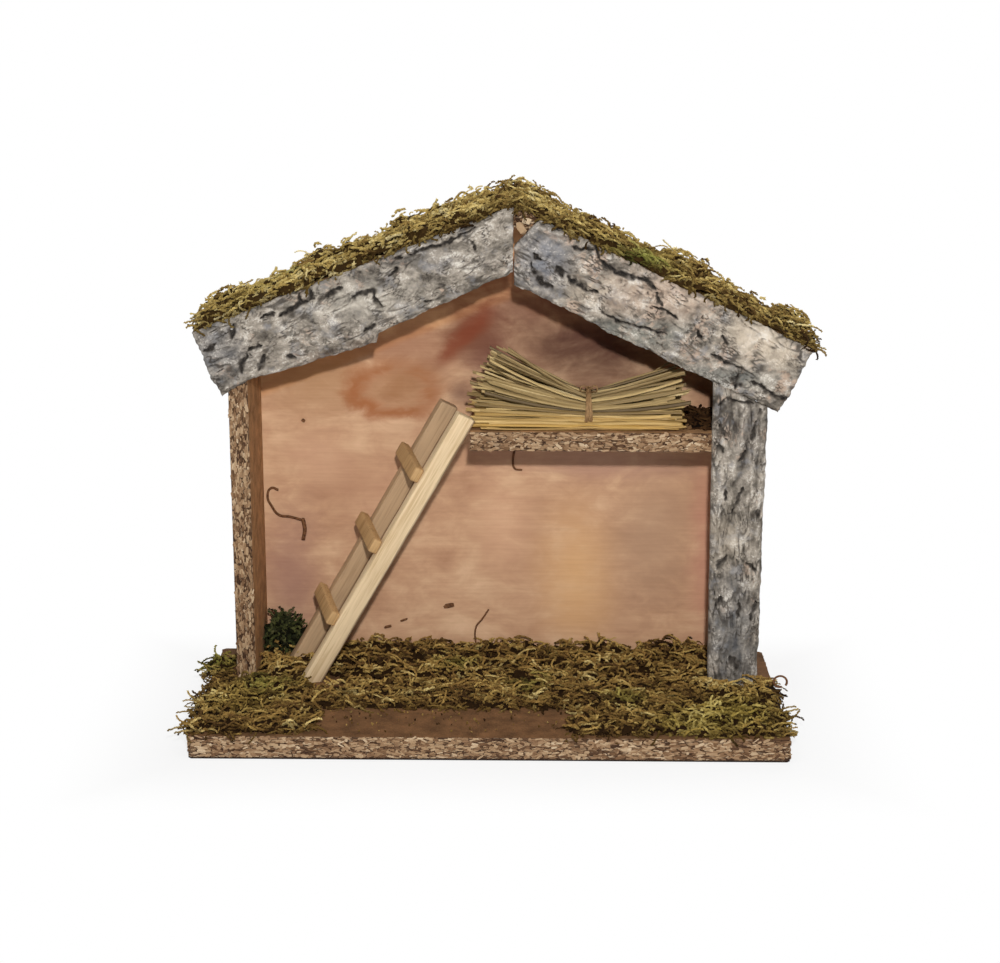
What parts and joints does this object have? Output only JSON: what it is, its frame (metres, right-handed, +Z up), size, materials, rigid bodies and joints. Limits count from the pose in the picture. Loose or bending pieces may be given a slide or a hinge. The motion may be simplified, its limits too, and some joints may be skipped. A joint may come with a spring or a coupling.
{
  "type": "nativity stable",
  "caption": "Open-fronted wooden nativity stable: gabled mossy roof with bark fascias, a loft holding a tied straw sheaf, a leaning ladder and a wide moss-dressed base",
  "frame": {"origin": "centre of the base board's underside", "axes": "+X to the right seen from the open front, +Y to the back, +Z up"},
  "size_m": [0.3174, 0.132, 0.278],
  "materials": {
    "chipboard": "brown-stained chipboard with raw edges",
    "panel_ply": "thin sheet with a pale peach wash inside",
    "bark": "weathered grey bark",
    "ladder_wood": "raw pale softwood",
    "rung_wood": "raw tan softwood",
    "straw": "dry straw",
    "raffia": "dry raffia",
    "moss": "dried moss",
    "moss_dark": "dark dried moss",
    "steel_wire": "plain wire nails and staples"
  },
  "bodies": {
    "root": {"base_board": "chipboard", "left_wall": "chipboard", "right_wall": "chipboard", "left_roof_board": "chipboard", "right_roof_board": "chipboard", "loft_board": "chipboard", "back_panel": "panel_ply", "left_fascia_bark": "bark", "right_fascia_bark": "bark", "right_post_bark": "bark", "ladder_front_rail": "ladder_wood", "ladder_rear_rail": "ladder_wood", "ladder_lower_rung": "rung_wood", "ladder_middle_rung": "rung_wood", "ladder_upper_rung": "rung_wood", "straw_sheaf": "straw", "straw_tie": "raffia", "moss_front_left": "moss", "moss_front_right": "moss", "moss_front_middle": "moss", "moss_shed_floor": "moss", "moss_corner_tuft": "moss_dark", "moss_roof_left": "moss", "moss_roof_right": "moss", "moss_ridge": "moss", "base_nails": "steel_wire", "left_roof_nails": "steel_wire", "right_roof_nails": "steel_wire", "ridge_nails": "steel_wire", "loft_nails": "steel_wire", "left_fascia_brads": "steel_wire", "right_fascia_brads": "steel_wire", "post_brads": "steel_wire", "rung_brads": "steel_wire", "wall_staples": "steel_wire", "roof_staples": "steel_wire", "base_staples": "steel_wire", "loft_staples": "steel_wire"}
  },
  "joints": []
}
